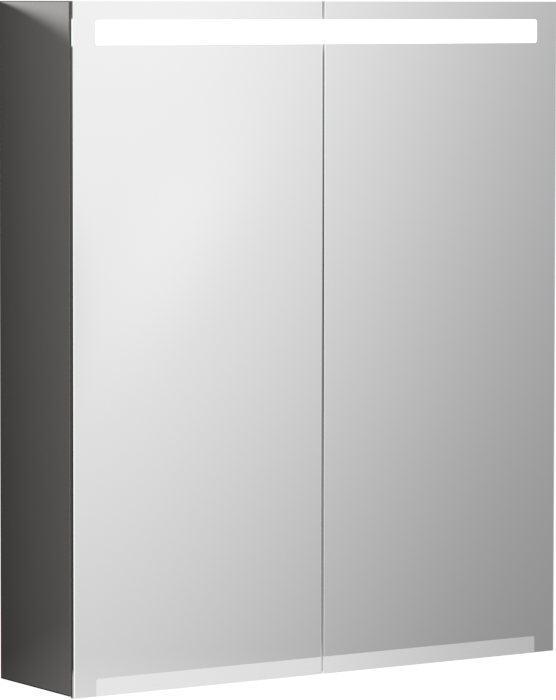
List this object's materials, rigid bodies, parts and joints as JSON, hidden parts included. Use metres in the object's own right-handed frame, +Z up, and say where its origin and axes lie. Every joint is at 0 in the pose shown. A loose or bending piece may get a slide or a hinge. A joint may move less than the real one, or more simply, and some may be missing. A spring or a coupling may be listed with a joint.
{
  "type": "mirror cabinet",
  "caption": "Wall-hung bathroom mirror cabinet with two mirrored doors, a lit band across them, a satin grip strip and glass shelves inside",
  "frame": {"origin": "on the wall, midway between the two screws of the wall rail", "axes": "+X to the right as seen from in front, +Y into the wall, +Z up; the mirrors face -Y"},
  "size_m": [0.6, 0.15, 0.7],
  "materials": {
    "board": "satin",
    "dark_cladding": "semi-gloss",
    "hardboard": "matt",
    "back_mirror": "polished",
    "cast_zinc": "satin nickel",
    "steel_pins": "plated",
    "aluminium": "anodised",
    "circuit_board": "satin",
    "led_light": "clear",
    "opal_cover": "satin",
    "white_plastic": "gloss",
    "cable_sheath": "satin",
    "black_rubber": "matt",
    "brass": "plain",
    "clear_silicone": "clear",
    "clear_glass": "polished",
    "shelf_metal": "polished",
    "front_mirror": "polished",
    "rear_mirror": "polished",
    "lit_opal": "lit, satin",
    "satin_strip": "satin etched"
  },
  "bodies": {
    "carcass": {"left_side_panel": "board", "right_side_panel": "board", "left_side_cladding": "dark_cladding", "right_side_cladding": "dark_cladding", "top_panel": "board", "bottom_panel": "board", "back_board": "hardboard", "back_mirror": "back_mirror", "corner_blocks": "cast_zinc", "corner_screws": "steel_pins", "wall_rail": "aluminium", "hanger": "aluminium", "hanger_screws": "steel_pins", "lamp_tray": "aluminium", "lamp_end_caps": "aluminium", "led_board": "circuit_board", "led_chips": "led_light", "lamp_diffuser": "opal_cover", "electrics_cover": "aluminium", "cover_angles": "aluminium", "led_driver": "white_plastic", "terminal_block": "white_plastic", "driver_lead": "cable_sheath", "lamp_lead": "cable_sheath", "outlet_lead": "cable_sheath", "cable_grommet": "black_rubber", "socket_plate": "white_plastic", "socket_insert": "white_plastic", "socket_contacts": "brass", "earth_clips": "steel_pins", "switch_frame": "white_plastic", "door_bumpers": "clear_silicone", "upper_shelf": "clear_glass", "lower_shelf": "clear_glass", "shelf_supports": "shelf_metal", "hinge_screws": "steel_pins", "left_hinge_arms": "cast_zinc", "left_arm_pins": "steel_pins", "right_hinge_arms": "cast_zinc", "right_arm_pins": "steel_pins"},
    "left_links": {"left_hinge_links": "steel_pins"},
    "left_door": {"left_front_mirror": "front_mirror", "left_light_panel": "lit_opal", "left_rear_mirror": "rear_mirror", "left_grip_strip": "satin_strip", "left_hinge_plates": "cast_zinc", "left_door_pins": "steel_pins"},
    "right_links": {"right_hinge_links": "steel_pins"},
    "right_door": {"right_front_mirror": "front_mirror", "right_light_panel": "lit_opal", "right_rear_mirror": "rear_mirror", "right_grip_strip": "satin_strip", "right_hinge_plates": "cast_zinc", "right_door_pins": "steel_pins"},
    "rocker": {"switch_rocker": "white_plastic"}
  },
  "joints": [
    {"name": "left_link_swing", "type": "hinge", "parent": "carcass", "child": "left_links", "pos_m": [-0.2836, -0.1395, -0.3035], "axis": [0, 0, -1], "range_deg": [0, 160]},
    {"name": "left_door_turn", "type": "hinge", "parent": "left_links", "child": "left_door", "pos_m": [-0.2678, -0.1158, -0.3035], "axis": [0, 0, 1], "range_deg": [0, 60]},
    {"name": "right_link_swing", "type": "hinge", "parent": "carcass", "child": "right_links", "pos_m": [0.2836, -0.1395, -0.3035], "axis": [0, 0, 1], "range_deg": [0, 160]},
    {"name": "right_door_turn", "type": "hinge", "parent": "right_links", "child": "right_door", "pos_m": [0.2678, -0.1158, -0.3035], "axis": [0, 0, -1], "range_deg": [0, 60]},
    {"name": "switch_rock", "type": "hinge", "parent": "carcass", "child": "rocker", "pos_m": [0.155, -0.075, -0.0045], "axis": [0, 1, 0], "range_deg": [0, 16]}
  ],
  "couplings": [
    {"joint": "left_link_swing", "follows": "left_door_turn", "ratio": 2.6667},
    {"joint": "right_link_swing", "follows": "right_door_turn", "ratio": 2.6667}
  ]
}
